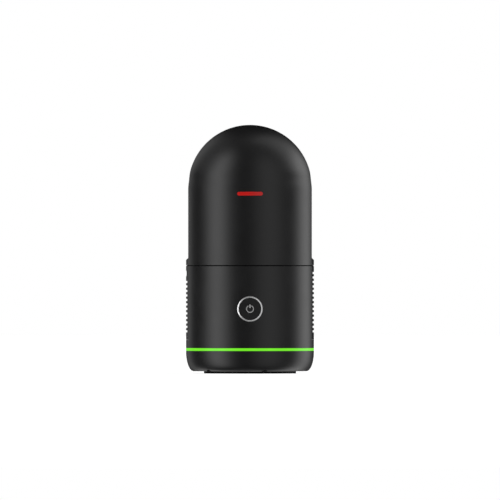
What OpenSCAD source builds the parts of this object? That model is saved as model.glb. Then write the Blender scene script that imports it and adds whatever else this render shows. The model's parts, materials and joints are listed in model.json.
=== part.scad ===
// Compact dome-topped laser scanner: a fixed base, a head that turns on it,
// and a mirror that spins in the slot across the head.
// Millimetres. +Z is up, the front with the power button faces -Y, and the
// origin is the middle of the underside of the foot disc.

/* [Body] */
// Outer radius of the base, of the head and of the dome
body_r = 40; // [39.6:0.1:41]
// Height of the dome's centre, which the mirror axis passes through
dome_z = 116.7; // [115:0.1:120]
// Thickness of the moulded walls
wall = 2.4; // [2.2:0.1:2.6]
// Height of the top rim of the base
base_top = 67.1; // [66.6:0.1:67.6]
// Open height between the rim of the base and the head
seam_gap = 0.6; // [0.5:0.1:0.8]
// Width of the rounding under the base
corner_w = 4.7; // [4:0.1:5]
// Height of the rounding under the base
corner_h = 12; // [10:0.5:12]

/* [Foot] */
// Radius of the foot disc
foot_r = 28.8; // [27:0.1:29.5]
// Height of the foot disc below the body
foot_h = 1.4; // [1:0.1:1.6]
// Wall radius of the tripod thread
thread_r = 2.55; // [2.5:0.05:4]
// Depth of the tripod thread
thread_depth = 8.6; // [6:0.2:9]
// Radius of the circle that the case screws stand on
case_screw_circle_r = 35.5; // [35.3:0.1:35.7]
// Angle of the first case screw from the front, towards +X
case_screw_turn = 14.7; // [10:0.1:20]

/* [Light ring] */
// Height of the lower edge of the light ring
light_z = 14; // [13.8:0.1:14.2]
// Height of the light ring
light_h = 1.9; // [1.6:0.1:2]

/* [Side panels] */
// Half the width of a side panel
panel_half = 10.15; // [9.5:0.05:10.3]
// Height of the lower edge of the side panels and of the battery door
panel_z = 21.35; // [21.2:0.05:21.6]
// Distance from one cooling groove to the next
groove_pitch = 2.806; // [2.7:0.002:2.81]
// Height of a cooling groove
groove_h = 1.35; // [1.2:0.05:1.5]
// Width of a cooling groove
groove_w = 15.8; // [14:0.1:17]
// Height of the uppermost cooling groove
groove_top_z = 62.78; // [62.5:0.02:63]

/* [USB port] */
// Width of the recess around the port
usb_recess_w = 10.3; // [10:0.1:11]
// Height of the recess around the port
usb_recess_h = 3.5; // [3.4:0.1:4]
// Height of the port's centre
usb_z = 62.5; // [62.3:0.1:62.7]

/* [Power button] */
// Height of the button's centre
button_z = 40.4; // [39:0.1:42]
// Outer radius of the button's metal ring
button_ring_r = 7.86; // [7.8:0.02:8.2]
// Width of the ring's bright face
button_ring_w = 0.84; // [0.8:0.02:1.1]
// Travel of the button
button_travel = 0.5; // [0.3:0.1:0.6]

/* [Battery door] */
// Angle from the middle of the back to each side of the door
door_half_angle = 27.6; // [27:0.1:28]
// Height of the upper edge of the door
door_top = 58.05; // [57.5:0.05:58.5]
// Angle that the door opens to
door_swing = 110; // [100:1:112]
// Travel of the door's latch
latch_travel = 2.4; // [2:0.1:2.6]

/* [Head] */
// Half the width of the slot across the head
slot_half = 10.17; // [9.9:0.01:10.3]
// Height of the slot floor at the side of the head
slot_floor_z = 72.2; // [72:0.1:73]
// Radius of the spinning mirror drum
drum_r = 14.6; // [13.9:0.1:15]
// Angle of the cameras from the middle of the back
camera_turn = 40; // [39:0.5:41]
// Upward tilt of the two upper cameras
camera_tilt = 45; // [44:0.5:46]
// Height of the two lower cameras
camera_z = 98; // [97:0.5:99]
// Length of the red badge on the front
badge_w = 16; // [12:0.5:18]
// Height of the red badge on the front
badge_h = 2.4; // [2:0.1:3]
// Height of the badge's centre above the foot
badge_z = 112.3; // [110:0.1:113]

/* [Hidden] */
$fn = 96;
inner_r = body_r - wall;
head_z = base_top + seam_gap;
head_floor_top = slot_floor_z - 1.3;
light_top = light_z + light_h;
shell_floor_top = foot_h + 4;
foot_recess_top = foot_h + 1.8;
panel_gap = 0.3;
panel_foot_z = panel_z - 0.18;
screw_well = 2.6;
case_post_r = 2.9;
post_step = 0.1;
battery_half_w = 17;
battery_back_y = 31;
tray_front_y = 8.3;
tray_top = 57;
carrier_z = base_top - 6.6;
carrier_t = 2;
carrier_boss_r = 34.8;
bearing_z = carrier_z + 1;
bearing_h = 4.5;
race_r = 10.5;
ball_r = 1.1;
shaft_r = 8.5;
hub_z = base_top + 0.1;
hub_r = 29;
hub_t = 2;
disc_z = carrier_z - 2.3;
disc_r = 14;
spindle_r = 3.2;
spindle_ball_r = 0.9;
spindle_race_r = 3.9;
sleeve_r = 7.5;
ball_play = 0.04;
press_gap = 0.02;
run_gap = 0.05;
screw_gap = 0.05;
cheek_y = slot_half + 0.15;
cheek_t = 2.2;
cheek_back_y = cheek_y + cheek_t;
hump_top = dome_z - 19.7;
glass_t = 1.5;
hinge_turn = 28.5;
hinge_r = body_r - 1.6;
pin_r = 0.75;
latch_turn = 19;
latch_mid_z = 40;
shell_screw_r = 34.2;
front_shell_screws = [216, 324];
rear_shell_screws = [36, 144];
hub_screw_angles = [0, 90, 180, 270];
hub_screw_r = 21;
case_screw_angles = [for (k = [0:5]) case_screw_turn - 90 + 60 * k];
carrier_screw_angles = [45, 135, 225, 315];
camera_places = [[-1, 0], [1, 0], [-1, 1], [1, 1]];

// ---- shared shapes ----

// Upright bar between two heights
module bar(r, z0, z1) {
    translate([0, 0, z0])
        cylinder(h = z1 - z0, r = r);
}

// Upright tube between two heights
module tube(r_out, r_in, z0, z1) {
    difference() {
        bar(r_out, z0, z1);
        bar(r_in, z0 - 1, z1 + 1);
    }
}

// Bar along the mirror axis between two places in Y
module mirror_bar(r, y0, y1) {
    translate([0, y0, dome_z])
        rotate([-90, 0, 0])
            cylinder(h = y1 - y0, r = r);
}

// Tube along the mirror axis between two places in Y
module mirror_tube(r_out, r_in, y0, y1) {
    difference() {
        mirror_bar(r_out, y0, y1);
        mirror_bar(r_in, y0 - 1, y1 + 1);
    }
}

// Bar along the button's axis between two places in Y
module button_bar(r, y0, y1) {
    translate([0, y0, button_z])
        rotate([-90, 0, 0])
            cylinder(h = y1 - y0, r = r);
}

// Block between two opposite corners
module block(low, high) {
    translate(low)
        cube(high - low);
}

// Flat shape with straight sides and round ends
module capsule(w, h) {
    square([w - h, h], center = true);
    for (side = [-1, 1])
        translate([side * (w - h) / 2, 0])
            circle(d = h);
}

// Capsule extruded along +X, at a height
module capsule_x(w, h, x0, x1, z) {
    translate([x0, 0, z])
        rotate([90, 0, 90])
            linear_extrude(height = x1 - x0)
                capsule(w, h);
}

// Round body with a spherical top
module domed_body(r, z0) {
    bar(r, z0, dome_z);
    translate([0, 0, dome_z])
        sphere(r = r);
}

// Screw with a drive recess, standing on its head, with its tip upwards
module screw_up(head_r, head_h, shank_r, z0, z1) {
    difference() {
        union() {
            bar(head_r, z0, z0 + head_h);
            bar(shank_r, z0, z1);
        }
        translate([0, 0, z0 - 1])
            cylinder(h = 1 + head_h * 0.6, r = head_r * 0.5, $fn = 6);
    }
}

// Countersunk screw with its tip upwards
module flat_screw_up(head_r, head_h, shank_r, z0, z1) {
    difference() {
        union() {
            translate([0, 0, z0])
                cylinder(h = head_h, r1 = head_r, r2 = shank_r);
            bar(shank_r, z0, z1);
        }
        translate([0, 0, z0 - 1])
            cylinder(h = 1 + head_h * 0.6, r = head_r * 0.4, $fn = 6);
    }
}

// Places its children at each angle of a circle
module around(angles, r) {
    for (a = angles)
        rotate([0, 0, a])
            translate([r, 0, 0])
                children();
}

// Balls evenly spaced on a circle
module ball_row(r, circle_r, count) {
    around([for (k = [0:count - 1]) 360 * k / count], circle_r)
        sphere(r = r);
}

// Groove that a row of balls runs in
module race_groove(r, circle_r) {
    rotate_extrude()
        translate([circle_r, 0])
            circle(r = r);
}

// Laminated motor ring with winding slots cut from its inner side
module slotted_ring(r_out, r_in, slot_r, slots, slot_w, h) {
    difference() {
        tube(r_out, r_in, 0, h);
        around([for (k = [0:slots - 1]) 360 * k / slots], 0)
            translate([r_in - 1, -slot_w / 2, -1])
                cube([slot_r - r_in + 1, slot_w, h + 2]);
    }
}

// ---- foot and underside ----

// Angles of the three screws in the foot disc
foot_screw_angles = [90, 210, 330];
foot_screw_r = 20;
insert_z = 0.4;

module mount_plate() {
    color("#1a1a1a")
        difference() {
            bar(foot_r, 0, foot_recess_top);
            bar(5.5, -1, foot_recess_top + 1);
            around(foot_screw_angles, foot_screw_r) {
                bar(1.6, -1, foot_recess_top + 1);
                translate([0, 0, -0.1])
                    cylinder(h = 1.7, r1 = 3.2, r2 = 1.6);
            }
        }
}

module mount_plate_screws() {
    color("#3a3a3c")
        around(foot_screw_angles, foot_screw_r)
            flat_screw_up(2.9, 1.4, 1.45, 0.1, 9);
}

module thread_insert() {
    color("#c8a24a")
        difference() {
            union() {
                bar(5.5, insert_z, shell_floor_top + 4.8);
                bar(8, shell_floor_top, shell_floor_top + 1.5);
            }
            bar(thread_r, insert_z - 1, insert_z + thread_depth);
        }
}

// Outline of the underside: flat, then a quarter of an ellipse up to the wall
function corner_points(steps) = [
    for (k = [0:steps])
        let (t = 90 * k / steps)
            [body_r - corner_w * (1 - sin(t)), foot_h + corner_h * (1 - cos(t))]
];

module bottom_shell() {
    color("#1c1c1e")
        difference() {
            union() {
                rotate_extrude()
                    polygon(concat(
                        [[0, foot_h]],
                        corner_points(16),
                        [
                            [body_r, light_z],
                            [inner_r, light_z],
                            [inner_r - 0.2, light_z - 4],
                            [inner_r - 1.6, shell_floor_top + 1.1],
                            [inner_r - 3.1, shell_floor_top],
                            [0, shell_floor_top],
                        ]
                    ));
                around(case_screw_angles, case_screw_circle_r)
                    bar(case_post_r, foot_h + 3.6, light_z - post_step);
                around(foot_screw_angles, foot_screw_r)
                    bar(3.2, shell_floor_top - 1, shell_floor_top + 4);
                tube(30.4, 28.4, shell_floor_top - 1, light_z);
            }
            bar(foot_r + 0.2, 0, foot_recess_top);
            bar(5.5, 0, shell_floor_top + 1);
            around(foot_screw_angles, foot_screw_r)
                bar(1.45 + screw_gap, 0, shell_floor_top + 3.9);
            around(case_screw_angles, case_screw_circle_r) {
                bar(1.35, 0, light_z + 1);
                bar(1.75, 0, foot_h + screw_well);
            }
        }
}

module case_screws() {
    color("#2a2a2c")
        around(case_screw_angles, case_screw_circle_r)
            screw_up(1.65, 1.6, 1.2, foot_h + 1, light_top + 4);
}

// ---- light ring ----

module light_ring() {
    color("#76ec27")
        difference() {
            tube(body_r, 33, light_z, light_top);
            around(case_screw_angles, case_screw_circle_r)
                bar(1.5, light_z - 1, light_top + 1);
        }
}

module led_board() {
    led_count = 24;
    color("#1f6b3a")
        tube(32.6, 28.6, light_z, light_z + 1);
    color("#e8e8dc")
        around([for (k = [0:led_count - 1]) 360 * k / led_count], 31.6)
            block([-0.6, -0.8, light_z + 1], [0.6, 0.8, light_z + 1.7]);
}

// ---- base housing ----

// Wall of the base between two angles from the middle of the back
module back_sector(r_out, r_in, half_angle, z0, z1) {
    far = 60;
    intersection() {
        tube(r_out, r_in, z0, z1);
        translate([0, 0, z0])
            linear_extrude(height = z1 - z0)
                polygon([
                    [0, 0],
                    [far * sin(half_angle), far * cos(half_angle)],
                    [-far * sin(half_angle), far * cos(half_angle)],
                ]);
    }
}

// Places its children on the door's hinge axis
module at_hinge() {
    translate([-hinge_r * sin(hinge_turn), hinge_r * cos(hinge_turn), 0])
        children();
}

// Places its children where the latch sits, with +X along its travel
module at_latch() {
    rotate([0, 0, -latch_turn])
        children();
}

// Bevel on the housing beside the hinge, for the door's outer face when it stands open
module door_bevel() {
    at_hinge()
        rotate([0, 0, hinge_turn + door_swing])
            block([0, -1, panel_z - 0.2], [4, 1.85, door_top + 0.2]);
}

module base_housing() {
    pin_lug = 2.6;
    color("#1c1c1e")
        difference() {
            union() {
                tube(body_r, inner_r, light_top, base_top);
                around(case_screw_angles, case_screw_circle_r)
                    bar(case_post_r, light_top + post_step, light_top + 4.9);
                around(carrier_screw_angles, carrier_boss_r)
                    bar(3, carrier_z - 8.5, carrier_z);
                at_hinge() {
                    bar(1.45, panel_z - panel_gap - pin_lug, panel_z);
                    bar(1.45, door_top, door_top + panel_gap + pin_lug);
                }
            }
            around(case_screw_angles, case_screw_circle_r)
                bar(1.2 + screw_gap, light_top - 1, light_top + 4.2);
            around(carrier_screw_angles, carrier_boss_r)
                bar(1.2 + screw_gap, carrier_z - 7.5, carrier_z + 1);
            for (side = [-1, 1])
                translate([side * body_r, 0, panel_z - panel_gap])
                    translate([-10, -panel_half - 0.2, 0])
                        cube([20, 2 * panel_half + 0.4, 60]);
            button_bar(button_ring_r + 0.1, -body_r - 1, -30);
            back_sector(body_r + 1, inner_r - 1.5, door_half_angle + 0.8,
                        panel_z - panel_gap, door_top + panel_gap);
            at_hinge() {
                bar(1.9, panel_z - panel_gap, door_top + panel_gap);
                bar(pin_r + press_gap, panel_z - 2.6, door_top + 2.6);
            }
            door_bevel();
            at_latch()
                block([5, 37.75, latch_mid_z - 2.6], [6.8 + latch_travel, 38.75, latch_mid_z + 2.6]);
        }
}

// Groove heights, counted down from the uppermost one
function groove_heights(first) = [
    for (k = [first:13]) groove_top_z - groove_pitch * k
];

// Side panel on the +X side, with cooling grooves and a flange behind the wall
module side_panel(first_groove) {
    difference() {
        union() {
            intersection() {
                bar(body_r, panel_foot_z, base_top);
                block([34.5, -panel_half, 0], [body_r + 1, panel_half, 80]);
            }
            block([33.4, -12.8, panel_z], [34.9, 12.8, base_top - 2]);
        }
        for (z = groove_heights(first_groove))
            capsule_x(groove_w, groove_h, body_r - 2.6, body_r + 1, z);
    }
}

module heat_sink_right() {
    color("#232325")
        side_panel(0);
}

module heat_sink_left() {
    color("#232325")
        mirror([1, 0, 0])
            difference() {
                side_panel(2);
                capsule_x(usb_recess_w, usb_recess_h, body_r - 1.4, body_r + 1, usb_z);
                capsule_x(9.2, usb_recess_h, 30, body_r, usb_z);
            }
}

module usb_port() {
    mouth_x = body_r - 1.4;
    color("#b9bcc0")
        mirror([1, 0, 0]) {
            difference() {
                capsule_x(8.94, 3.26, mouth_x - 7.2, mouth_x, usb_z);
                capsule_x(8.34, 2.66, mouth_x - 6.4, mouth_x + 1, usb_z);
            }
            block([mouth_x - 6.8, -3.35, usb_z - 0.35], [mouth_x - 0.9, 3.35, usb_z + 0.35]);
        }
}

// U-shaped plate that carries heat from the main board to both side panels
module heat_spreader() {
    right = [[29, -19.6], [33.3, -13], [33.3, 6], [31.8, 6], [31.8, -12.4], [28.2, -18.1]];
    left = [for (k = [len(right) - 1:-1:0]) [-right[k][0], right[k][1]]];
    color("#b87345")
        translate([0, 0, 24])
            linear_extrude(height = 26)
                polygon(concat(right, left));
}

module main_board() {
    board_y = -22;
    board_t = 1.6;
    color("#17552f")
        block([-27, board_y, panel_z + 0.2], [27, board_y + board_t, 50]);
    color("#2b2b2b")
        for (x = [-15, 3, 17])
            block([x - 6, board_y + board_t, 30], [x + 6, -19.6, 42]);
    color("#d8d2c0")
        block([-8, board_y - 3, 23], [8, board_y, 26]);
}

module wlan_antenna() {
    color("#8a6a2a")
        rotate([0, 0, 30])
            block([-9, -36, 23], [9, -35.2, 33]);
}

// ---- power button ----

button_face_y = -body_r + 0.45;
button_cap_y = button_face_y + 0.25;
button_cap_r = button_ring_r - button_ring_w - 0.12;
switch_y = -34.4;

module button_bezel() {
    color("#c9ccd0")
        difference() {
            union() {
                button_bar(button_ring_r, button_face_y, -35.1);
                button_bar(9.6, -36.1, -35.1);
            }
            button_bar(button_ring_r - button_ring_w, button_face_y - 1, -34);
        }
}

module power_icon(y0, y1) {
    translate([0, y1, button_z])
        rotate([90, 0, 0])
            linear_extrude(height = y1 - y0) {
                difference() {
                    circle(r = 2.4);
                    circle(r = 1.9);
                    translate([-0.95, 0])
                        square([1.9, 4]);
                }
                translate([-0.35, 0.55])
                    square([0.7, 2.2]);
            }
}

module button_cap() {
    color("#1f1f21")
        difference() {
            union() {
                button_bar(button_cap_r, button_cap_y, button_cap_y + 2);
                button_bar(1.2, button_cap_y + 1, switch_y - 0.1);
            }
            power_icon(button_cap_y - 1, button_cap_y + 0.3);
        }
}

module button_icon() {
    color("#9a9a9c")
        power_icon(button_cap_y, button_cap_y + 0.3);
}

module button_switch() {
    color("#3b3b3d")
        difference() {
            block([-3, switch_y, button_z - 3], [3, switch_y + 3.4, button_z + 3]);
            button_bar(1.6, switch_y - 1, switch_y + button_travel + 0.7);
        }
    color("#17552f")
        block([-8, switch_y + 3.4, button_z - 8], [8, switch_y + 4.6, button_z + 8]);
}

// ---- battery and its door ----

module battery_tray() {
    half_w = battery_half_w + 1.6;
    color("#2e2e30")
        difference() {
            block([-half_w, tray_front_y, panel_z + 0.2], [half_w, 30.5, tray_top]);
            block([-half_w + 1.2, tray_front_y + 1.2, panel_z + 1],
                  [half_w - 1.2, 40, tray_top - 1]);
        }
}

module battery_contacts() {
    color("#d9b24c")
        for (x = [-6, -2, 2, 6])
            block([x - 0.6, tray_front_y + 1.2, 30], [x + 0.6, tray_front_y + 1.8, 38]);
}

module battery_pack() {
    edge = 2;
    color("#4a4d52")
        translate([0, 0, panel_z + 1.1])
            linear_extrude(height = tray_top - 1.3 - panel_z - 1.1)
                union() {
                    translate([-battery_half_w, tray_front_y + 1.9])
                        square([2 * battery_half_w, battery_back_y - edge - tray_front_y - 1.9]);
                    translate([-battery_half_w + edge, tray_front_y + 1.9])
                        square([2 * (battery_half_w - edge), battery_back_y - tray_front_y - 1.9]);
                    for (side = [-1, 1])
                        translate([side * (battery_half_w - edge), battery_back_y - edge])
                            circle(r = edge);
                }
}

module battery_door() {
    color("#1c1c1e")
        difference() {
            union() {
                back_sector(body_r, inner_r, door_half_angle, panel_z, door_top);
                at_hinge()
                    bar(1.6, panel_z, door_top);
                at_latch()
                    intersection() {
                        bar(inner_r + 0.1, latch_mid_z - 6, latch_mid_z + 6);
                        block([-6.4, 36.2, 0], [5.2, 40, 80]);
                    }
            }
            at_hinge()
                bar(pin_r + run_gap, panel_z - 1, door_top + 1);
            at_latch() {
                block([-4.2, 37.8, latch_mid_z - 4.2], [2.2 + latch_travel, 42, latch_mid_z + 4.2]);
                block([4, 37.8, latch_mid_z - 2.5], [8, 38.7, latch_mid_z + 2.5]);
            }
        }
}

module door_hinge_pin() {
    color("#b0b3b8")
        at_hinge()
            bar(pin_r, panel_z - 2.5, door_top + 2.5);
}

module door_latch() {
    thumb_w = 6;
    color("#2c2c2f")
        at_latch() {
            difference() {
                block([-4, 37.9, latch_mid_z - 4], [2, 39.6, latch_mid_z + 4]);
                for (k = [0:3])
                    translate([-3.1 + k * thumb_w / 5, 39.2, latch_mid_z - 3])
                        cube([0.6, 1, 6]);
            }
            block([1, 37.9, latch_mid_z - 2.4], [5.5, 38.6, latch_mid_z + 2.4]);
        }
}

// ---- drive that turns the head ----

module bearing_carrier() {
    color("#8d9095")
        difference() {
            union() {
                intersection() {
                    bar(inner_r - 0.4, carrier_z, carrier_z + carrier_t);
                    block([-30.6, -40, 0], [30.6, 40, 80]);
                }
                bar(16, carrier_z, bearing_z + bearing_h + 0.5);
            }
            bar(9.4, 0, 80);
            bar(13 + press_gap, bearing_z, 80);
            around(carrier_screw_angles, carrier_boss_r)
                bar(1.5, 0, 80);
        }
}

module carrier_screws() {
    head_h = 1.5;
    color("#9a9da2")
        around(carrier_screw_angles, carrier_boss_r)
            translate([0, 0, carrier_z + carrier_t + head_h])
                mirror([0, 0, 1])
                    screw_up(2.2, head_h, 1.2, 0, 9);
}

module azimuth_bearing_outer() {
    color("#c2c5ca")
        difference() {
            tube(13, 11.3, bearing_z, bearing_z + bearing_h);
            translate([0, 0, bearing_z + bearing_h / 2])
                race_groove(ball_r + ball_play, race_r);
        }
}

module azimuth_bearing_balls() {
    color("#e0e2e5")
        translate([0, 0, bearing_z + bearing_h / 2])
            ball_row(ball_r, race_r, 22);
}

module azimuth_bearing_inner() {
    color("#c2c5ca")
        difference() {
            tube(9.7, shaft_r + press_gap, bearing_z, bearing_z + bearing_h);
            translate([0, 0, bearing_z + bearing_h / 2])
                race_groove(ball_r + ball_play, race_r);
        }
}

module azimuth_stator() {
    color("#a85f32")
        translate([0, 0, carrier_z + carrier_t])
            slotted_ring(25, 16, 22.5, 18, 1.6, 3.7);
}

module azimuth_rotor() {
    color("#6f7277")
        tube(hub_r, 25.6, carrier_z + carrier_t + 0.4, hub_z);
}

module azimuth_hub() {
    color("#a3a6ab")
        difference() {
            union() {
                bar(shaft_r, disc_z - 0.8, hub_z + hub_t);
                bar(hub_r, hub_z, hub_z + hub_t);
            }
            bar(6, 0, 80);
            around(hub_screw_angles, hub_screw_r) {
                bar(1.3, 0, 80);
                translate([0, 0, hub_z - 0.1])
                    cylinder(h = 1.2, r1 = 2.5, r2 = 1.3);
            }
        }
}

module azimuth_encoder_disc() {
    color("#7d8fa0")
        union() {
            tube(disc_r, shaft_r + press_gap, disc_z, disc_z + 0.8);
            tube(9.2, shaft_r + press_gap, disc_z, disc_z + 2);
        }
}

module azimuth_encoder_reader() {
    color("#202a24")
        union() {
            block([-4, -19, disc_z - 1], [4, -disc_r - 0.6, carrier_z]);
            block([-4, -disc_r - 0.7, disc_z - 1], [4, -11, disc_z - 0.4]);
        }
}

module slip_ring_stator() {
    color("#35373a")
        difference() {
            union() {
                bar(7, disc_z - 16, disc_z - 1.6);
                block([-19.5, -7, disc_z - 2.4], [19.5, 7, disc_z - 1.4]);
                for (side = [-1, 1])
                    translate([side * 17.5, 0, 0])
                        bar(1.8, disc_z - 1.6, carrier_z);
            }
            bar(2.67, disc_z - 14, disc_z);
        }
}

module slip_ring_rotor() {
    color("#b08d3c")
        union() {
            bar(2.6, disc_z - 13.6, head_floor_top);
            bar(5.9, hub_z - 4.2, hub_z - 2.2);
        }
}

// Lip of the neck seal, or with a gap round it the groove in the head that it stands in
module neck_lip(gap) {
    tube(body_r - 0.8 + gap, body_r - 1.4 - gap, base_top, head_z + 0.3 + gap);
}

module seam_seal() {
    color("#0f0f10") {
        tube(body_r - 0.4, inner_r + 0.2, base_top, base_top + seam_gap / 2);
        neck_lip(0);
    }
}

// ---- head casing ----

// Half of the domed casing, in front of the slot (-1) or behind it (1)
module half_shell(side, screw_angles) {
    difference() {
        union() {
            difference() {
                domed_body(body_r, head_z);
                domed_body(inner_r, head_z - 1);
                translate([-50, side * (slot_half - 50) - 50, 0])
                    cube([100, 100, 200]);
            }
            around(screw_angles, shell_screw_r)
                bar(3.6, head_floor_top + 0.1, head_floor_top + 10);
        }
        around(screw_angles, shell_screw_r)
            bar(1.2 + screw_gap, head_floor_top - 1, head_floor_top + 9);
        neck_lip(panel_gap);
    }
}

module badge_prism() {
    translate([0, -30, badge_z])
        rotate([90, 0, 0])
            linear_extrude(height = 20)
                capsule(badge_w, badge_h);
}

module front_shell() {
    color("#1c1c1e")
        difference() {
            half_shell(-1, front_shell_screws);
            difference() {
                badge_prism();
                bar(body_r - 0.3, 0, 200);
            }
        }
}

module front_badge() {
    color("#c81c1c")
        intersection() {
            badge_prism();
            tube(body_r, body_r - 0.3, 90, 130);
        }
}

// Places its children on a camera's axis, with +Z pointing out of the head
module at_camera(place) {
    upper = place[1];
    translate([0, 0, upper == 1 ? dome_z : camera_z])
        rotate([0, 90 - upper * camera_tilt, 90 - place[0] * camera_turn])
            children();
}

module rear_shell() {
    color("#1c1c1e")
        difference() {
            half_shell(1, rear_shell_screws);
            for (place = camera_places)
                at_camera(place) {
                    bar(5.2, body_r - 1, body_r + 2);
                    bar(4.3, body_r - 8, body_r);
                }
        }
}

module camera_windows() {
    color("#101318")
        for (place = camera_places)
            at_camera(place)
                bar(5.1, body_r - 1, body_r - 0.4);
}

module camera_barrels() {
    color("#2a2a2d")
        for (place = camera_places)
            at_camera(place)
                difference() {
                    bar(4.1, body_r - 9, body_r - 1.1);
                    bar(3.3, body_r - 6, body_r);
                }
}

module camera_lenses() {
    color("#31465c")
        for (place = camera_places)
            at_camera(place)
                intersection() {
                    bar(3.2, body_r - 5, body_r - 1.5);
                    translate([0, 0, body_r - 8.2])
                        sphere(r = 6.2);
                }
}

// ---- head frame ----

// Floor of the slot seen from the front: low at both sides, humped in the middle
module hump_outline(inset) {
    top = hump_top - inset;
    low = head_floor_top - (inset > 0 ? 0 : 1);
    reach = body_r - 1.3 + slot_floor_z - inset * sqrt(2);
    polygon([
        [low - reach, low],
        [reach - low, low],
        [reach - top, top],
        [top - reach, top],
    ]);
}

// Rounded upper edge of the frame where it fills the side of the head
module frame_envelope() {
    edge = 1.3;
    steps = 6;
    rotate_extrude()
        polygon(concat(
            [[0, head_z], [body_r, head_z]],
            [for (k = [0:steps]) [
                body_r - edge * (1 - cos(90 * k / steps)),
                head_floor_top + edge * sin(90 * k / steps)
            ]],
            [[body_r - edge, dome_z], [0, dome_z]]
        ));
}

// Upright plate beside the slot, in front of it (-1) or behind it (1)
module cheek(side) {
    arch_r = sqrt(pow(inner_r, 2) - pow(cheek_back_y, 2)) - 0.25;
    y0 = side > 0 ? cheek_y : -cheek_back_y;
    translate([0, y0 + cheek_t, 0])
        rotate([90, 0, 0])
            linear_extrude(height = cheek_t) {
                translate([0, dome_z])
                    circle(r = arch_r);
                translate([-arch_r, head_floor_top - 1])
                    square([2 * arch_r, dome_z - head_floor_top + 1]);
            }
}

module head_frame() {
    color("#262628")
        difference() {
            union() {
                bar(inner_r - 0.4, head_z, head_floor_top);
                intersection() {
                    frame_envelope();
                    block([-50, -slot_half + 0.13, head_z], [50, slot_half - 0.13, 150]);
                    union() {
                        bar(body_r, head_z, head_floor_top + 0.01);
                        rotate([90, 0, 0])
                            linear_extrude(height = 30, center = true)
                                hump_outline(0);
                    }
                }
                intersection() {
                    block([-34, -cheek_y - 0.1, head_z], [34, cheek_y + 0.1, 150]);
                    rotate([90, 0, 0])
                        linear_extrude(height = 30, center = true)
                            hump_outline(0);
                }
                cheek(-1);
                cheek(1);
                mirror_bar(9.8, cheek_y, 22.6);
                mirror_bar(13, 22.6, 31.4);
            }
            rotate([90, 0, 0])
                linear_extrude(height = 15.6, center = true)
                    hump_outline(2.4);
            bar(hub_r + 0.15, 0, hub_z + hub_t);
            bar(12, 0, head_floor_top + 1);
            around(hub_screw_angles, hub_screw_r)
                bar(1.2 + screw_gap, 0, head_floor_top - 0.3);
            around(concat(front_shell_screws, rear_shell_screws), shell_screw_r) {
                bar(1.4, 0, head_floor_top + 1);
                bar(2.3, 0, head_z + 1.7);
            }
            mirror_bar(12.2, -cheek_back_y - 1, -cheek_y + 1);
            mirror_bar(13, -cheek_back_y - 1, -cheek_y - 0.7);
            mirror_bar(sleeve_r + press_gap, cheek_y + 0.7, 24.5);
            mirror_bar(4.9, cheek_y - 1, 24.5);
            mirror_bar(11.6 + press_gap, 24, 32);
            neck_lip(panel_gap);
        }
}

module head_screws() {
    color("#3a3a3c") {
        around(concat(front_shell_screws, rear_shell_screws), shell_screw_r)
            screw_up(2.1, 1.5, 1.2, head_z + 0.2, head_floor_top + 8);
        around(hub_screw_angles, hub_screw_r)
            flat_screw_up(2.3, 1, 1.2, hub_z + 0.05, head_floor_top - 0.5);
    }
}

module head_board() {
    color("#17552f")
        block([-21, 26, head_floor_top + 0.6], [21, 27.6, 93]);
    color("#2b2b2b")
        for (x = [-12, 6])
            block([x - 5, 24.6, 78], [x + 5, 26, 88]);
}

// ---- ranging optics ----

module optics_window() {
    color("#3a1014")
        mirror_bar(12.9, -cheek_back_y + 0.1, -cheek_y - 0.7);
}

module receiver_barrel() {
    color("#2f3033")
        mirror_tube(14.5, 12.2, -30, -cheek_back_y);
}

module receiver_lens() {
    color("#7fa3b5")
        difference() {
            intersection() {
                mirror_bar(12.1, -22, -16);
                translate([0, -46, dome_z])
                    sphere(r = 30);
            }
            mirror_bar(3.1, -30, -10);
        }
}

module receiver_board() {
    color("#17552f")
        mirror_tube(14, 3.3, -31.4, -30);
}

module laser_module() {
    color("#85888d")
        union() {
            mirror_bar(3, -34, -15);
            mirror_bar(5, -36.4, -33.4);
        }
}

// ---- mirror spindle ----

module mirror_bearing_sleeve() {
    color("#c2c5ca")
        difference() {
            mirror_tube(sleeve_r, 4.6, cheek_y + 0.7, 24);
            for (y = [13.5, 21.5])
                translate([0, y, dome_z])
                    rotate([90, 0, 0])
                        race_groove(spindle_ball_r + ball_play, spindle_race_r);
        }
}

module mirror_bearing_balls() {
    color("#e0e2e5")
        for (y = [13.5, 21.5])
            translate([0, y, dome_z])
                rotate([90, 0, 0])
                    ball_row(spindle_ball_r, spindle_race_r, 9);
}

module mirror_shaft() {
    color("#b5b8bd")
        difference() {
            mirror_bar(spindle_r, 5, 33);
            for (y = [13.5, 21.5])
                translate([0, y, dome_z])
                    rotate([90, 0, 0])
                        race_groove(spindle_ball_r + ball_play, spindle_race_r);
        }
}

// Slab that lies at 45 degrees across the drum, from one depth to another below
// the mirror plane
module slanted_slab(depth0, depth1) {
    translate([0, 0, dome_z])
        rotate([45, 0, 0])
            translate([-30, -40, -depth1])
                cube([60, 80, depth1 - depth0]);
}

module mirror_drum() {
    color("#2b2b2e")
        difference() {
            mirror_bar(drum_r, -9.3, 9.3);
            slanted_slab(-60, glass_t + 0.1);
            mirror_bar(spindle_r + press_gap, 5, 12);
        }
}

module mirror_glass() {
    color("#dfe6ea")
        intersection() {
            mirror_bar(drum_r - 0.7, -8.9, 8.9);
            slanted_slab(0, glass_t);
        }
}

module mirror_stator() {
    color("#a85f32")
        translate([0, 24.2, dome_z])
            rotate([-90, 0, 0])
                slotted_ring(11.6, 7.2, 10.2, 9, 1.8, 6.8);
}

module mirror_rotor() {
    color("#6f7277")
        mirror_tube(6.6, spindle_r + press_gap, 24.6, 30.6);
}

module mirror_encoder_disc() {
    color("#7d8fa0")
        mirror_tube(11, spindle_r + press_gap, 31.9, 32.5);
}

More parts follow.
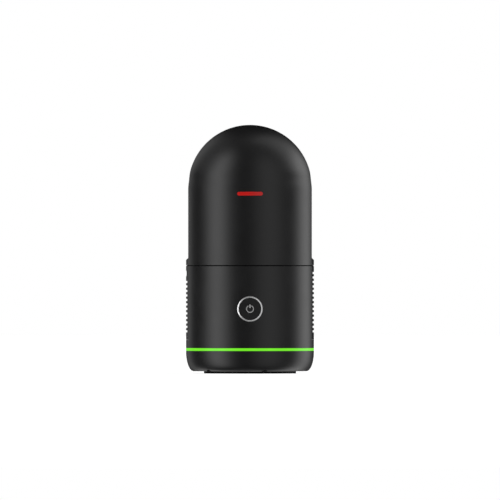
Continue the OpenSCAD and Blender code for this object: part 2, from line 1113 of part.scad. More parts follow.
module mirror_encoder_reader() {
    color("#202a24")
        union() {
            block([-4, 31.5, dome_z - 14], [4, 34, dome_z - 11.5]);
            block([-4, 33, dome_z - 11.6], [4, 34, dome_z - 7.5]);
        }
}

mount_plate();
mount_plate_screws();
thread_insert();
bottom_shell();
case_screws();
light_ring();
led_board();
base_housing();
heat_sink_left();
heat_sink_right();
heat_spreader();
main_board();
wlan_antenna();
usb_port();
button_bezel();
button_switch();
button_cap();
button_icon();
battery_tray();
battery_contacts();
battery_pack();
battery_door();
door_hinge_pin();
door_latch();
bearing_carrier();
carrier_screws();
azimuth_bearing_outer();
azimuth_bearing_balls();
azimuth_bearing_inner();
azimuth_stator();
azimuth_rotor();
azimuth_encoder_disc();
azimuth_encoder_reader();
slip_ring_stator();
slip_ring_rotor();
seam_seal();
azimuth_hub();
head_frame();
head_screws();
front_shell();
rear_shell();
front_badge();
laser_module();
receiver_barrel();
receiver_lens();
receiver_board();
optics_window();
mirror_bearing_sleeve();
mirror_bearing_balls();
mirror_stator();
mirror_encoder_reader();
mirror_drum();
mirror_glass();
mirror_shaft();
mirror_rotor();
mirror_encoder_disc();
camera_barrels();
camera_lenses();
camera_windows();
head_board();
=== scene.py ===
"""Looks of the terrestrial laser scanner: softened pieces, finishes, studio light and camera.

Every visible outer part is a copy of its CAD part with moulded or machined edges and exact
surface normals. Parts deeper inside are shown as the CAD made them, with finishes of their own.
"""

import json
import math

import bmesh
import bpy
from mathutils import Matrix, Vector

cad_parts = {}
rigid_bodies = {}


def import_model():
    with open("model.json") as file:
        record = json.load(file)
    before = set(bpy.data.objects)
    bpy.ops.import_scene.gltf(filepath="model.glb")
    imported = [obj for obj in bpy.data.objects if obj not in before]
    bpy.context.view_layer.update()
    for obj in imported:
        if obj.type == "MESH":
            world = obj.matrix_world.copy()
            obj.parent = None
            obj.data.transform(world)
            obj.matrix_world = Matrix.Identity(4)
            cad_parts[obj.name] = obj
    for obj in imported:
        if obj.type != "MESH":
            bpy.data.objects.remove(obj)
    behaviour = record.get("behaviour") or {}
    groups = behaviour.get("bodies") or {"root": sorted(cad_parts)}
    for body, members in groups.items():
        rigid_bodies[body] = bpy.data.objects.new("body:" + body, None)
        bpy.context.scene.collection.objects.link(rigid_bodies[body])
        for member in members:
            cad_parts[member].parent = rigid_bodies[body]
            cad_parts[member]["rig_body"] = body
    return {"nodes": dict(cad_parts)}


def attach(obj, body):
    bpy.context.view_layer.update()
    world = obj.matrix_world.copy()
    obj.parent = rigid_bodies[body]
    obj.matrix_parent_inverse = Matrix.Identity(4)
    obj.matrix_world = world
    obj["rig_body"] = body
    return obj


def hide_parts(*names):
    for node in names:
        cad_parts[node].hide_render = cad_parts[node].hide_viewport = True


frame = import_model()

SCENE = bpy.context.scene
NODES = frame["nodes"]
SLOT_OF = {name: node.data.materials[0].name for name, node in NODES.items()}
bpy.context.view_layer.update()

# ---- sizes, in metres ----

MM = 0.001
BODY_R = 40 * MM
DOME_CENTRE = Vector((0, 0, 116.7 * MM))
SLOT_HALF = 10.17 * MM
SEAL_LIP_R = 39.1 * MM
SEAL_RIM_R = 39.45 * MM
SEAL_LOW = 67.3 * MM
SEAL_HIGH = 67.55 * MM
SEAL_BULGE = 0.17 * MM
SHOULDER_LOW = 115 * MM
SHOULDER_HIGH = 127 * MM
SHOULDER_DEPTH = 0.31 * MM
CAMERA_DISTANCE = 13.9
CAMERA_HEIGHT = 77.17 * MM
CAMERA_LENS = 1600
CAMERA_SENSOR = 36
FLOOR_HALF = 6
FLOOR_DROP = 0.02 * MM
FLOOR_GLOW = 0.72
BUTTON_Z = 40.4 * MM
LIGHT_Z = 15.03 * MM
LIGHT_CORE = 0.7 * MM
LIGHT_FADE = 0.98 * MM
LIGHT_RIM_GLOW = 0.1
RING_R = 7.86 * MM
CROWN_WIDTH = 0.74 * MM
CROWN_R = RING_R - CROWN_WIDTH

# Slope of the button ring's front at its inner edge, and how much steeper it gets further out.
CROWN_START = 0.14
CROWN_STEEPER = 0.64
CROWN_CURVE = CROWN_STEEPER / (2 * CROWN_WIDTH)

# Bounds of the regions whose edges are softened.
OUTER_WALL_R = 39.5 * MM
SKIN_R = 39.9 * MM
CASING_R = 39.2 * MM
NECK_TOP = 70 * MM
SLOT_FLOOR = 74 * MM
SLOT_REACH = 12.6 * MM
RIM_R = 39 * MM
WELLS_R = 28 * MM
WELLS_TOP = 4.5 * MM
CAP_EDGE_R = 5 * MM

# Edges are sharp above the first angle, and faces are one flat face below the second.
SHARP_ANGLE = math.radians(25)
FLAT_ANGLE = math.radians(0.3)

# Cosine above which two faces at a corner belong to one surface.
ONE_SURFACE = 0.93

# A face of the round wall tilts less than this, and faces outward more than this.
WALL_TILT = 0.02
WALL_OUTWARD = 0.99

# Points closer than this are one point, and heights closer than HAIR are the same height.
ONE_POINT = 0.001 * MM
HAIR = 0.01 * MM

# Millimetres above SHOULDER_LOW at which the straight wall is divided, so that it can bend.
SHOULDER_CUTS = (0, 0.6, 1.2)

# The part of a noise texture's range that is used, from 0 to 1.
NOISE_LOW = 0.3
NOISE_HIGH = 0.7

# Material index that marks the faces made by softening an edge.
ROUNDED = 1


# ---- softened copies of CAD parts ----


def from_axis(point):
    """Distance of a point from the scanner's vertical axis."""
    return math.hypot(point.x, point.y)


def everywhere(point):
    """True for every point: all of a part's sharp edges are softened."""
    return True


def on_outer_wall(point):
    """True near the outer face of the round wall."""
    return from_axis(point) > OUTER_WALL_R


def is_even(values, spread=0.03 * MM):
    """True if all of the values lie within a small spread."""
    return max(values) - min(values) < spread


def facing(direction, normal):
    """direction, turned to the side that normal points to."""
    return direction if direction.dot(normal) > 0 else -direction


def is_rounded(face):
    """True for a face that softening an edge has made."""
    return face.material_index == ROUNDED


def surface_normal(face, vert):
    """Normal of the true surface at a corner of a face that isn't part of a softened edge."""
    normal = face.normal
    outward = Vector((vert.co.x, vert.co.y, 0)).normalized()
    upright = abs(normal.z) < WALL_TILT and abs(outward.dot(normal)) > WALL_OUTWARD
    if upright and is_even([from_axis(v.co) for v in face.verts]):
        return facing(outward, normal)
    above = min(v.co.z for v in face.verts) > DOME_CENTRE.z - HAIR
    if above and is_even([(v.co - DOME_CENTRE).length for v in face.verts]):
        return facing((vert.co - DOME_CENTRE).normalized(), normal)
    total = Vector()
    for loop in vert.link_loops:
        if not is_rounded(loop.face) and loop.face.normal.dot(normal) > ONE_SURFACE:
            total += loop.face.normal * loop.calc_angle()
    return total.normalized()


def corner_normal(loop):
    """Normal at one corner: the true surface, or a blend of the two that a softened edge joins."""
    if not is_rounded(loop.face):
        return surface_normal(loop.face, loop.vert)
    plain = [f for f in loop.vert.link_faces if not is_rounded(f)]
    if plain:
        nearest = max(plain, key=lambda f: f.normal.dot(loop.face.normal))
        return surface_normal(nearest, loop.vert)
    total = Vector()
    for other in loop.vert.link_loops:
        total += other.face.normal * other.calc_angle()
    return total.normalized()


def soften_edges(bm, near, radius, segments):
    """Rounds the sharp edges whose ends are both near, and marks the faces that this makes."""
    sharp = [
        edge
        for edge in bm.edges
        if len(edge.link_faces) == 2
        and edge.calc_face_angle() > SHARP_ANGLE
        and all(near(v.co) for v in edge.verts)
        and not any(is_rounded(f) for f in edge.link_faces)
    ]
    bmesh.ops.bevel(
        bm,
        geom=sharp,
        offset=radius,
        offset_type="OFFSET",
        segments=segments,
        profile=0.5,
        affect="EDGES",
        clamp_overlap=False,
        loop_slide=True,
        material=ROUNDED,
    )


def open_cad_mesh(node):
    """The CAD part's mesh, with its seams joined and its flat faces made whole."""
    bm = bmesh.new()
    bm.from_mesh(NODES[node].data)
    bmesh.ops.remove_doubles(bm, verts=bm.verts, dist=ONE_POINT)
    bmesh.ops.dissolve_limit(bm, angle_limit=FLAT_ANGLE, verts=bm.verts, edges=bm.edges)
    return bm


def softened(name, node, *edges, reshape=None, cuts=()):
    """A copy of a CAD part with rounded edges, which stands for the part and moves with its body.

    Each of edges is (where, radius, segments). reshape moves the surface, and cuts are heights
    at which faces are divided first.
    """
    bm = open_cad_mesh(node)
    for height in cuts:
        bmesh.ops.bisect_plane(
            bm,
            geom=bm.verts[:] + bm.edges[:] + bm.faces[:],
            plane_co=(0, 0, height),
            plane_no=(0, 0, 1),
        )
    for near, radius, segments in edges:
        soften_edges(bm, near, radius, segments)
    bm.normal_update()
    normals = [corner_normal(loop) for face in bm.faces for loop in face.loops]
    if reshape:
        normals = reshape(bm, normals)
    for face in bm.faces:
        face.smooth = True
        face.material_index = 0
    mesh = bpy.data.meshes.new(name)
    bm.to_mesh(mesh)
    bm.free()
    mesh.normals_split_custom_set(normals)
    mesh.materials.append(FINISHES[SLOT_OF[node]])
    piece = bpy.data.objects.new(name, mesh)
    SCENE.collection.objects.link(piece)
    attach(piece, NODES[node]["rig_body"])
    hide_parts(node)
    return piece


# ---- shader building blocks ----


def add_node(tree, kind, **inputs):
    """A new shader node, with values for the named input sockets."""
    node = tree.nodes.new(kind)
    for socket, value in inputs.items():
        node.inputs[socket.replace("_", " ")].default_value = value
    return node


def math_node(tree, operation, first, second=None, third=None):
    """The result of a math node, whose inputs are sockets or numbers."""
    node = tree.nodes.new("ShaderNodeMath")
    node.operation = operation
    for socket, value in zip(node.inputs, (first, second, third)):
        if isinstance(value, (int, float)):
            socket.default_value = value
        elif value is not None:
            tree.links.new(value, socket)
    return node.outputs["Value"]


def finish_material(slot, **inputs):
    """A slot's material, its tree and its shader, with values for the shader's sockets."""
    material = bpy.data.materials.new(slot + "_finish")
    material.use_nodes = True
    shader = material.node_tree.nodes["Principled BSDF"]
    for socket, value in inputs.items():
        shader.inputs[socket.replace("_", " ")].default_value = value
    return material, material.node_tree, shader


def part_coordinates(tree, stretch=(1, 1, 1)):
    """Positions on the part, in metres, stretched along the axes."""
    place = add_node(tree, "ShaderNodeTexCoord")
    mapping = add_node(tree, "ShaderNodeMapping", Scale=stretch)
    tree.links.new(place.outputs["Object"], mapping.inputs["Vector"])
    return mapping.outputs["Vector"]


def grain(tree, size, detail=2.0, stretch=(1, 1, 1)):
    """Noise from 0 to 1 whose spots are about size metres across."""
    noise = add_node(tree, "ShaderNodeTexNoise", Scale=1 / size, Detail=detail)
    tree.links.new(part_coordinates(tree, stretch), noise.inputs["Vector"])
    return noise.outputs["Fac"]


def spread_over(tree, value, low, high):
    """A noise value turned into a range from low to high."""
    ranged = add_node(tree, "ShaderNodeMapRange", From_Min=NOISE_LOW, From_Max=NOISE_HIGH)
    ranged.inputs["To Min"].default_value = low
    ranged.inputs["To Max"].default_value = high
    tree.links.new(value, ranged.inputs["Value"])
    return ranged.outputs["Result"]


def tint(tree, shader, value, dark, light):
    """Colours the surface between two colours, as the noise value says."""
    ramp = add_node(tree, "ShaderNodeValToRGB")
    ramp.color_ramp.elements[0].position = NOISE_LOW
    ramp.color_ramp.elements[0].color = (*dark, 1)
    ramp.color_ramp.elements[1].position = NOISE_HIGH
    ramp.color_ramp.elements[1].color = (*light, 1)
    tree.links.new(value, ramp.inputs["Fac"])
    tree.links.new(ramp.outputs["Color"], shader.inputs["Base Color"])


def relief(tree, shader, *layers):
    """Fine relief: each layer is (value, height in metres), one on top of another."""
    normal = None
    for value, height in layers:
        bump = add_node(tree, "ShaderNodeBump", Strength=1.0, Distance=height)
        tree.links.new(value, bump.inputs["Height"])
        if normal:
            tree.links.new(normal, bump.inputs["Normal"])
        normal = bump.outputs["Normal"]
    tree.links.new(normal, shader.inputs["Normal"])


def scaled(colour, share):
    """A colour made darker or lighter."""
    return tuple(min(1, c * share) for c in colour)


# ---- families of finishes ----


def moulding(slot, colour, gloss, texture=0.22 * MM, depth=0.003 * MM, shine=0.5):
    """Moulded plastic with a spark-eroded texture. gloss is the middle of its roughness."""
    material, tree, shader = finish_material(slot, IOR=1.5, Specular_IOR_Level=shine)
    patches = grain(tree, 14 * MM, detail=3)
    tint(tree, shader, patches, scaled(colour, 0.9), scaled(colour, 1.12))
    roughness = spread_over(tree, patches, gloss - 0.02, gloss + 0.02)
    tree.links.new(roughness, shader.inputs["Roughness"])
    relief(
        tree,
        shader,
        (grain(tree, 6 * MM), 0.004 * MM),
        (grain(tree, texture, detail=4), depth),
    )
    return material


def painted(slot, colour, gloss, texture=0.4 * MM, depth=0.005 * MM, shine=0.5):
    """Powder-coated or anodised metal, with a soft orange peel and faint wear in patches."""
    material, tree, shader = finish_material(slot, IOR=1.52, Specular_IOR_Level=shine)
    wear = grain(tree, 3 * MM, detail=6)
    tint(tree, shader, wear, scaled(colour, 0.85), scaled(colour, 1.3))
    roughness = spread_over(tree, grain(tree, 9 * MM, 4), gloss - 0.03, gloss + 0.03)
    tree.links.new(roughness, shader.inputs["Roughness"])
    relief(tree, shader, (grain(tree, texture, detail=3), depth))
    return material


def machined(slot, colour, gloss, brushing=(1, 1, 1), depth=0.001 * MM):
    """Bare metal with tool marks. brushing stretches the marks along the axes."""
    material, tree, shader = finish_material(slot, Metallic=1.0)
    marks = grain(tree, 0.12 * MM, detail=5, stretch=brushing)
    tint(tree, shader, grain(tree, 5 * MM, 4), scaled(colour, 0.88), scaled(colour, 1.06))
    roughness = spread_over(tree, marks, gloss - 0.06, gloss + 0.06)
    tree.links.new(roughness, shader.inputs["Roughness"])
    relief(tree, shader, (marks, depth))
    return material


def clear(slot, colour, coating, transmission, gloss=0.03):
    """Coated glass: a tinted body with a faint smear on its face."""
    material, tree, shader = finish_material(
        slot, IOR=1.52, Transmission_Weight=transmission, Coat_Weight=0.6
    )
    shader.inputs["Coat Tint"].default_value = (*coating, 1)
    smear = grain(tree, 7 * MM, detail=5, stretch=(1, 1, 2))
    tint(tree, shader, smear, scaled(colour, 0.92), scaled(colour, 1.05))
    roughness = spread_over(tree, smear, gloss, gloss + 0.04)
    tree.links.new(roughness, shader.inputs["Roughness"])
    relief(tree, shader, (grain(tree, 12 * MM), 0.002 * MM))
    return material


# ---- one finish for each material slot ----


def case_black():
    """Satin casing of the head, the base and the battery door."""
    return moulding("case_black", (0.0115, 0.0115, 0.012), gloss=0.36)


def panel_black():
    """Anodised side panels with the cooling grooves, a shade darker than the casing."""
    return painted("panel_black", (0.008, 0.008, 0.0085), gloss=0.3, texture=0.3 * MM, shine=0.3)


def frame_black():
    """Powder-coated frame inside the head."""
    return painted("frame_black", (0.008, 0.008, 0.0085), gloss=0.34, shine=0.3)


def foot_black():
    """Matt anodised foot disc, darker than the casing above it."""
    return painted("foot_black", (0.003, 0.003, 0.0032), gloss=0.6, shine=0.1)


def drum_black():
    """Anodised drum that carries the mirror."""
    return painted("drum_black", (0.012, 0.012, 0.0125), gloss=0.38, texture=0.3 * MM)


def light_green():
    """Glowing ring, a little brighter where a lamp stands behind it, dim at its two rims."""
    material, tree, shader = finish_material("light_green", Base_Color=(0.02, 0.09, 0.01, 1))
    along = tree.nodes.new("ShaderNodeSeparateXYZ")
    tree.links.new(part_coordinates(tree), along.inputs["Vector"])
    off_middle = math_node(tree, "SUBTRACT", along.outputs["Z"], LIGHT_Z)
    off_middle = math_node(tree, "ABSOLUTE", off_middle)
    lit = add_node(tree, "ShaderNodeMapRange", From_Min=LIGHT_FADE, From_Max=LIGHT_CORE)
    lit.interpolation_type = "SMOOTHSTEP"
    lit.inputs["To Min"].default_value = LIGHT_RIM_GLOW
    tree.links.new(off_middle, lit.inputs["Value"])
    tree.links.new(lit.outputs["Result"], shader.inputs["Emission Strength"])
    glow = add_node(tree, "ShaderNodeValToRGB")
    glow.color_ramp.elements[0].position = NOISE_LOW
    glow.color_ramp.elements[0].color = (0.15, 0.76, 0.008, 1)
    glow.color_ramp.elements[1].position = NOISE_HIGH
    glow.color_ramp.elements[1].color = (0.175, 0.83, 0.012, 1)
    tree.links.new(grain(tree, 8 * MM, detail=1), glow.inputs["Fac"])
    tree.links.new(glow.outputs["Color"], shader.inputs["Emission Color"])
    frost = grain(tree, 0.3 * MM, detail=3)
    tree.links.new(spread_over(tree, frost, 0.35, 0.5), shader.inputs["Roughness"])
    relief(tree, shader, (frost, 0.002 * MM))
    return material


def bezel_steel():
    """Satin silver ring round the power button, with a painted glow: a faint white emission,
    though the real ring gives no light.
    """
    material = machined("bezel_steel", (0.95, 0.95, 0.96), gloss=0.3, brushing=(1, 4, 1))
    shader = material.node_tree.nodes["Principled BSDF"]
    shader.inputs["Metallic"].default_value = 0.6
    # Painted glow: a faint white emission that lightens the whole ring, which is no lamp.
    shader.inputs["Emission Color"].default_value = (1, 1, 1, 1)
    shader.inputs["Emission Strength"].default_value = 0.1
    return material


def button_black():
    """Satin cap of the power button."""
    return moulding("button_black", (0.0125, 0.0125, 0.013), gloss=0.42, texture=0.15 * MM)


def icon_grey():
    """Semi-matte inlay of the power symbol."""
    return moulding("icon_grey", (0.66, 0.66, 0.66), gloss=0.5, texture=0.1 * MM, depth=0.001 * MM)


def badge_red():
    """Red enamel inlay on the front of the head."""
    return moulding("badge_red", (0.92, 0.018, 0.016), gloss=0.3, texture=0.5 * MM)


def rubber_black():
    """Matte seal between head and base: black rubber, darkened further and dulled as painted shade
    of the gap it sits in.
    """
    # Near-black colour and low shine stand in for the shade of the gap: painted shade on real
    # black rubber.
    return moulding("rubber_black", (0.0015, 0.0015, 0.0015), 0.8, depth=0.006 * MM, shine=0.1)


def inner_black():
    """Plain mouldings inside the casing."""
    return moulding("inner_black", (0.03, 0.03, 0.032), gloss=0.5)


def battery_grey():
    """Matte skin of the battery pack."""
    return moulding("battery_grey", (0.06, 0.065, 0.07), gloss=0.55, texture=0.3 * MM)


def screw_black():
    """Black-oxide screws with light tool marks."""
    return painted("screw_black", (0.02, 0.02, 0.021), gloss=0.35, texture=0.15 * MM)


def screw_steel():
    """Zinc-plated screws."""
    return machined("screw_steel", (0.55, 0.56, 0.58), gloss=0.35)


def bearing_steel():
    """Ground races, balls and shafts."""
    return machined("bearing_steel", (0.62, 0.63, 0.65), gloss=0.2, brushing=(1, 1, 8))


def magnet_steel():
    """Nickel-plated magnet rings of the motors."""
    return machined("magnet_steel", (0.33, 0.34, 0.36), gloss=0.32)


def port_steel():
    """Drawn steel shell of the port."""
    return machined("port_steel", (0.6, 0.61, 0.63), gloss=0.28, brushing=(8, 1, 1))


def cast_aluminium():
    """Machined aluminium with turning marks."""
    return machined("cast_aluminium", (0.58, 0.59, 0.61), gloss=0.4, depth=0.003 * MM)


def insert_brass():
    """Turned brass insert."""
    return machined("insert_brass", (0.62, 0.46, 0.19), gloss=0.28, brushing=(1, 1, 10))


def contact_gold():
    """Gold-plated contacts."""
    return machined("contact_gold", (0.78, 0.6, 0.27), gloss=0.22)


def spreader_copper():
    """Rolled copper sheet."""
    return machined("spreader_copper", (0.62, 0.31, 0.18), gloss=0.35, brushing=(1, 1, 0.2))


def winding_copper():
    """Enamelled wire on the stators: fine turns under a clear varnish."""
    material, tree, shader = finish_material("winding_copper", Metallic=0.9, Coat_Weight=0.4)
    turns = add_node(tree, "ShaderNodeTexWave", Scale=900.0, Distortion=1.5, Detail=2.0)
    turns.bands_direction = "DIAGONAL"
    tree.links.new(part_coordinates(tree), turns.inputs["Vector"])
    tint(tree, shader, turns.outputs["Fac"], (0.3, 0.11, 0.05), (0.58, 0.25, 0.11))
    roughness = spread_over(tree, grain(tree, 0.4 * MM), 0.25, 0.45)
    tree.links.new(roughness, shader.inputs["Roughness"])
    relief(tree, shader, (turns.outputs["Fac"], 0.05 * MM))
    return material


def board_green():
    """Circuit board: solder mask over the faint squares of its copper tracks."""
    material, tree, shader = finish_material("board_green", IOR=1.5, Coat_Weight=0.5)
    tracks = add_node(tree, "ShaderNodeTexBrick", Scale=260.0, Mortar_Size=0.03)
    tree.links.new(part_coordinates(tree), tracks.inputs["Vector"])
    tint(tree, shader, tracks.outputs["Fac"], (0.016, 0.12, 0.045), (0.03, 0.2, 0.08))
    roughness = spread_over(tree, grain(tree, 1.5 * MM, 4), 0.28, 0.42)
    tree.links.new(roughness, shader.inputs["Roughness"])
    relief(tree, shader, (tracks.outputs["Fac"], 0.02 * MM), (grain(tree, MM), 0.004 * MM))
    return material


def antenna_amber():
    """Flexible circuit of the antenna, with its printed track showing through."""
    material, tree, shader = finish_material("antenna_amber", IOR=1.6, Coat_Weight=0.5)
    track = add_node(tree, "ShaderNodeTexWave", Scale=160.0, Distortion=0.6)
    tree.links.new(part_coordinates(tree), track.inputs["Vector"])
    tint(tree, shader, track.outputs["Fac"], (0.3, 0.14, 0.03), (0.45, 0.24, 0.07))
    roughness = spread_over(tree, grain(tree, MM, 3), 0.3, 0.4)
    tree.links.new(roughness, shader.inputs["Roughness"])
    relief(tree, shader, (track.outputs["Fac"], 0.01 * MM))
    return material


def disc_glass():
    """Etched glass of the encoder discs."""
    return clear("disc_glass", (0.3, 0.36, 0.42), (0.8, 0.9, 1), transmission=0.6, gloss=0.15)


def window_dark():
    """Dark coated windows of the cameras."""
    return clear("window_dark", (0.012, 0.013, 0.016), (0.7, 0.75, 1), transmission=0.3)


def window_red():
    """Infrared window that the laser leaves through."""
    return clear("window_red", (0.05, 0.008, 0.01), (1, 0.45, 0.4), transmission=0.35)


def lens_glass():
    """Coated lenses."""
    return clear("lens_glass", (0.45, 0.6, 0.7), (0.6, 0.75, 1), transmission=0.8)


def mirror_silver():
    """First-surface mirror, with hardly visible dust."""
    material, tree, shader = finish_material("mirror_silver", Metallic=1.0)
    dust = grain(tree, 2 * MM, detail=6)
    tint(tree, shader, dust, (0.88, 0.9, 0.91), (0.93, 0.94, 0.95))
    tree.links.new(spread_over(tree, dust, 0.02, 0.06), shader.inputs["Roughness"])
    relief(tree, shader, (grain(tree, 15 * MM), 0.001 * MM))
    return material


FINISH_MAKERS = [
    case_black, panel_black, frame_black, foot_black, drum_black, light_green, bezel_steel,
    button_black, icon_grey, badge_red, rubber_black, inner_black, battery_grey, screw_black,
    screw_steel, bearing_steel, magnet_steel, port_steel, cast_aluminium, insert_brass,
    contact_gold, spreader_copper, winding_copper, board_green, antenna_amber, disc_glass,
    window_dark, window_red, lens_glass, mirror_silver,
]
FINISHES = {make.__name__: make() for make in FINISH_MAKERS}


# ---- base ----


def build_foot():
    """Foot disc, its screws and the tripod thread's insert."""
    softened("foot_disc", "mount_plate", (everywhere, 0.15 * MM, 3))
    softened("foot_screws", "mount_plate_screws", (everywhere, 0.06 * MM, 2))
    softened("thread_collar", "thread_insert", (everywhere, 0.12 * MM, 2))


def build_underside():
    """Bottom shell with softened rim and screw wells, and the screws in them."""

    def at_rim(point):
        in_wells = from_axis(point) > WELLS_R and point.z < WELLS_TOP
        return from_axis(point) > RIM_R or in_wells

    softened("underside_shell", "bottom_shell", (at_rim, 0.09 * MM, 3))
    softened("rim_screws", "case_screws", (everywhere, 0.06 * MM, 2))


def build_light():
    """Ring of frosted plastic, lit from behind."""
    softened("glow_ring", "light_ring", (everywhere, 0.12 * MM, 3))


def build_housing():
    """Wall of the base, with soft rims at its openings."""
    softened("base_wall", "base_housing", (on_outer_wall, 0.1 * MM, 3))


def build_panels():
    """Grooved side panels and the port in the left one."""
    for side in ("left", "right"):
        softened(side + "_grille", "heat_sink_" + side, (on_outer_wall, 0.12 * MM, 3))
    softened("port_shell", "usb_port", (everywhere, 0.05 * MM, 2))


def crown_drop(reach):
    """How far the ring's front falls away at a distance out from its inner edge."""
    return reach * CROWN_START + reach**2 * CROWN_CURVE


def crown_ring(bm, normals):
    """Gives the button's ring a front that slopes outward, steeper towards its outer edge."""
    front = min(vert.co.y for vert in bm.verts)
    corners = [loop for face in bm.faces for loop in face.loops]
    turned = []
    for loop, normal in zip(corners, normals):
        outward = Vector((loop.vert.co.x, 0, loop.vert.co.z - BUTTON_Z))
        reach = outward.length - CROWN_R
        if is_rounded(loop.face) and reach > -ONE_POINT:
            slope = CROWN_START + 2 * reach * CROWN_CURVE
            normal = Vector((0, -1, 0)) + outward.normalized() * slope
        turned.append(normal.normalized())
    crown = {vert for face in bm.faces if is_rounded(face) for vert in face.verts}
    for vert in crown:
        reach = math.hypot(vert.co.x, vert.co.z - BUTTON_Z) - CROWN_R
        if reach > 0:
            vert.co.y = front + crown_drop(reach)
    return turned


def build_button():
    """Power button: bright crowned ring, cap and symbol."""

    def reach(point):
        return math.hypot(point.x, point.z - BUTTON_Z)

    def at_ring_edge(point):
        return point.y < -BODY_R + MM and reach(point) > CROWN_R

    def at_cap_edge(point):
        return point.y < -BODY_R + MM and reach(point) > CAP_EDGE_R

    softened("button_ring", "button_bezel", (at_ring_edge, CROWN_WIDTH, 8), reshape=crown_ring)
    softened("button_face", "button_cap", (at_cap_edge, 0.2 * MM, 3))
    softened("power_mark", "button_icon", (everywhere, 0.03 * MM, 2))


def build_battery_door():
    """Battery door, its latch and its pin."""
    softened("battery_hatch", "battery_door", (on_outer_wall, 0.1 * MM, 3))
    softened("hatch_catch", "door_latch", (everywhere, 0.12 * MM, 3))
    softened("hatch_pin", "door_hinge_pin", (everywhere, 0.1 * MM, 2))


# ---- head ----


def from_dome(point):
    """Distance of a point from the middle of the head: its axis below, and its centre above."""
    return math.hypot(point.x, point.y, max(0, point.z - DOME_CENTRE.z))


def on_casing(point):
    """True on the outer face of the head's casing."""
    return from_dome(point) > CASING_R


def at_skin(point):
    """True at the very surface of the casing."""
    return from_dome(point) > SKIN_R


def in_the_slot(point):
    """True where the frame shows in the slot or at the neck."""
    at_neck = from_axis(point) > CASING_R and point.z < NECK_TOP
    return at_neck or (abs(point.y) < SLOT_REACH and point.z > SLOT_FLOOR)


def shoulder_inset(height):
    """How far the dome's soft shoulder lies inside the true sphere at a height."""
    share = (height - SHOULDER_LOW) / (SHOULDER_HIGH - SHOULDER_LOW)
    if not 0 < share < 1:
        return 0
    return SHOULDER_DEPTH * math.sin(math.pi * share) ** 2


def shoulder_slope(height):
    """Change of the inset with height."""
    step = 0.1 * MM
    return (shoulder_inset(height + step) - shoulder_inset(height - step)) / (2 * step)


def soften_shoulder(bm, normals):
    """Draws the outer face in at the shoulder, and tilts its normals to suit."""
    corners = [loop.vert.co for face in bm.faces for loop in face.loops]
    turned = []
    for point, normal in zip(corners, normals):
        slope = shoulder_slope(point.z) if on_casing(point) else 0
        turned.append((normal + Vector((0, 0, slope))).normalized())
    for vert in bm.verts:
        if on_casing(vert.co):
            outward = Vector((vert.co.x, vert.co.y, max(0, vert.co.z - DOME_CENTRE.z)))
            vert.co -= outward.normalized() * shoulder_inset(vert.co.z)
            vert.co.y = math.copysign(max(abs(vert.co.y), SLOT_HALF), vert.co.y)
    return turned


def swell_seal(bm, normals):
    """Lets the seal's rubber flange bulge outward and upward, nearly closing the neck's gap."""
    for vert in bm.verts:
        if from_axis(vert.co) > SEAL_LIP_R and SEAL_LOW < vert.co.z < SEAL_HIGH:
            vert.co.z += SEAL_BULGE
        if from_axis(vert.co) > SEAL_RIM_R:
            share = 1 + SEAL_BULGE / from_axis(vert.co)
            vert.co.x *= share
            vert.co.y *= share
    return normals


def build_casing():
    """The two halves of the domed casing, the badge and the neck's seal."""
    for name, node in (("front_dome", "front_shell"), ("rear_dome", "rear_shell")):
        softened(
            name,
            node,
            (at_skin, 0.12 * MM, 3),
            reshape=soften_shoulder,
            cuts=[SHOULDER_LOW + rise * MM for rise in SHOULDER_CUTS],
        )
    softened("front_mark", "front_badge", (everywhere, 0.05 * MM, 2))
    softened("neck_seal", "seam_seal", (everywhere, 0.08 * MM, 2), reshape=swell_seal)


def build_frame():
    """Frame of the head, and the windows of the beam and the cameras."""
    softened("head_core", "head_frame", (in_the_slot, 0.15 * MM, 2))
    softened("exit_window", "optics_window", (everywhere, 0.15 * MM, 2))
    softened("eye_windows", "camera_windows", (everywhere, 0.12 * MM, 2))


def build_mirror():
    """Slanted drum and the mirror on it."""
    softened("mirror_wedge", "mirror_drum", (everywhere, 0.2 * MM, 3))
    softened("mirror_face", "mirror_glass", (everywhere, 0.15 * MM, 3))


# ---- studio ----

# Soft lights, as angles in degrees: azimuth 0 is the camera's side and 90 is to its right.
# Each is (azimuth, elevation, half width, half height, softness, brightness).
SOFTBOXES = {
    "key": (-62, 7, 17, 47, 35, 2.4),
    "side_left": (-116, 40, 26, 25, 16, 0.25),
    "fill": (36, 5, 24, 50, 42, 0.7),
    "rim_high": (110, 52, 27, 38, 36, 0.95),
    "rim_low": (115.5, -12, 18, 43, 25, 1.8),
    "rim_left": (-143, 7, 13, 35, 12, 0.42),
    "overhead": (0, 84, 180, 8, 24, 0.25),
    "low_behind": (180, -44, 60, 15, 10, 1.1),
}
GROUND_GLOW = (20, 24, 0.4)


def soft_edge(tree, distance, half, softness):
    """1 inside a half width, falling smoothly to 0 outside it."""
    ranged = tree.nodes.new("ShaderNodeMapRange")
    ranged.interpolation_type = "SMOOTHSTEP"
    ranged.inputs["From Min"].default_value = math.radians(half + softness / 2)
    ranged.inputs["From Max"].default_value = math.radians(max(0, half - softness / 2))
    tree.links.new(distance, ranged.inputs["Value"])
    return ranged.outputs["Result"]


def softbox_light(tree, azimuth, elevation, box):
    """Brightness of one soft light, as seen along a direction."""
    at_azimuth, at_elevation, half_width, half_height, softness, brightness = box
    turn = math_node(tree, "SUBTRACT", azimuth, math.radians(at_azimuth))
    turn = math_node(tree, "WRAP", turn, math.pi, -math.pi)
    turn = math_node(tree, "ABSOLUTE", turn)
    rise = math_node(tree, "SUBTRACT", elevation, math.radians(at_elevation))
    rise = math_node(tree, "ABSOLUTE", rise)
    across = soft_edge(tree, turn, half_width, softness)
    upward = soft_edge(tree, rise, half_height, softness)
    share = math_node(tree, "MULTIPLY", across, upward)
    return math_node(tree, "MULTIPLY", share, brightness)


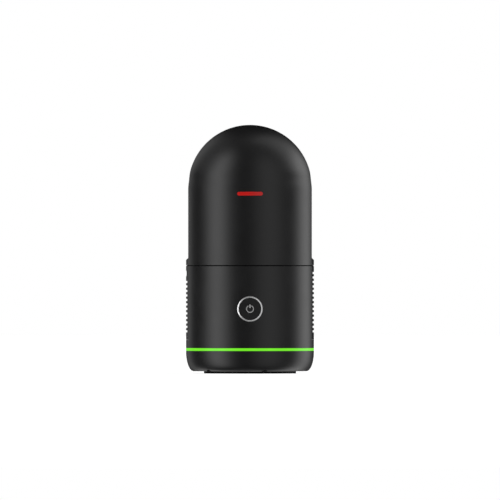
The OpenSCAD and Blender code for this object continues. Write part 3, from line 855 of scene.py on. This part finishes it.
def build_light_dome():
    """Studio lights all round; the camera itself sees plain white."""
    world = bpy.data.worlds.new("studio")
    world.use_nodes = True
    SCENE.world = world
    tree = world.node_tree
    tree.nodes.clear()
    place = tree.nodes.new("ShaderNodeTexCoord")
    along = tree.nodes.new("ShaderNodeSeparateXYZ")
    tree.links.new(place.outputs["Generated"], along.inputs["Vector"])
    towards = math_node(tree, "MULTIPLY", along.outputs["Y"], -1.0)
    azimuth = math_node(tree, "ARCTAN2", along.outputs["X"], towards)
    elevation = math_node(tree, "ARCSINE", along.outputs["Z"])
    half, softness, brightness = GROUND_GLOW
    below = math_node(tree, "SUBTRACT", elevation, math.radians(-90))
    light = math_node(tree, "MULTIPLY", soft_edge(tree, below, half, softness), brightness)
    for box in SOFTBOXES.values():
        light = math_node(tree, "ADD", softbox_light(tree, azimuth, elevation, box), light)
    studio = tree.nodes.new("ShaderNodeBackground")
    tree.links.new(light, studio.inputs["Strength"])
    paper = tree.nodes.new("ShaderNodeBackground")
    path = tree.nodes.new("ShaderNodeLightPath")
    mix = tree.nodes.new("ShaderNodeMixShader")
    output = tree.nodes.new("ShaderNodeOutputWorld")
    paper.inputs["Color"].default_value = (1, 1, 1, 1)
    studio.inputs["Color"].default_value = (1, 1, 1, 1)
    tree.links.new(path.outputs["Is Camera Ray"], mix.inputs["Fac"])
    tree.links.new(studio.outputs["Background"], mix.inputs[1])
    tree.links.new(paper.outputs["Background"], mix.inputs[2])
    tree.links.new(mix.outputs["Shader"], output.inputs["Surface"])


def build_floor():
    """Plain white floor that glows a little, so that only a faint shadow shows on it."""
    bm = bmesh.new()
    bmesh.ops.create_grid(bm, x_segments=4, y_segments=4, size=FLOOR_HALF)
    mesh = bpy.data.meshes.new("floor")
    bm.to_mesh(mesh)
    bm.free()
    floor = bpy.data.objects.new("floor", mesh)
    floor.location.z = -FLOOR_DROP
    SCENE.collection.objects.link(floor)
    material, tree, shader = finish_material(
        "floor", Base_Color=(0.85, 0.85, 0.85, 1), Roughness=1.0, Emission_Strength=FLOOR_GLOW
    )
    shader.inputs["Specular IOR Level"].default_value = 0
    shader.inputs["Emission Color"].default_value = (1, 1, 1, 1)
    floor.data.materials.append(material)
    floor.visible_glossy = False
    floor.visible_diffuse = False
    floor.visible_shadow = False


def build_camera():
    """Long lens, level with the middle of the scanner and straight in front of it."""
    data = bpy.data.cameras.new("camera")
    data.lens = CAMERA_LENS
    data.sensor_width = CAMERA_SENSOR
    data.clip_start = 0.1
    data.clip_end = 50
    camera = bpy.data.objects.new("camera", data)
    camera.location = (0, -CAMERA_DISTANCE, CAMERA_HEIGHT)
    camera.rotation_euler = (math.radians(90), 0, 0)
    SCENE.collection.objects.link(camera)
    SCENE.camera = camera
    SCENE.view_settings.view_transform = "Standard"


def finish_cad_parts():
    """Gives every CAD part the finish of its slot."""
    for name, node in NODES.items():
        node.data.materials[0] = FINISHES[SLOT_OF[name]]


finish_cad_parts()
build_foot()
build_underside()
build_light()
build_housing()
build_panels()
build_button()
build_battery_door()
build_casing()
build_frame()
build_mirror()
build_light_dome()
build_floor()
build_camera()
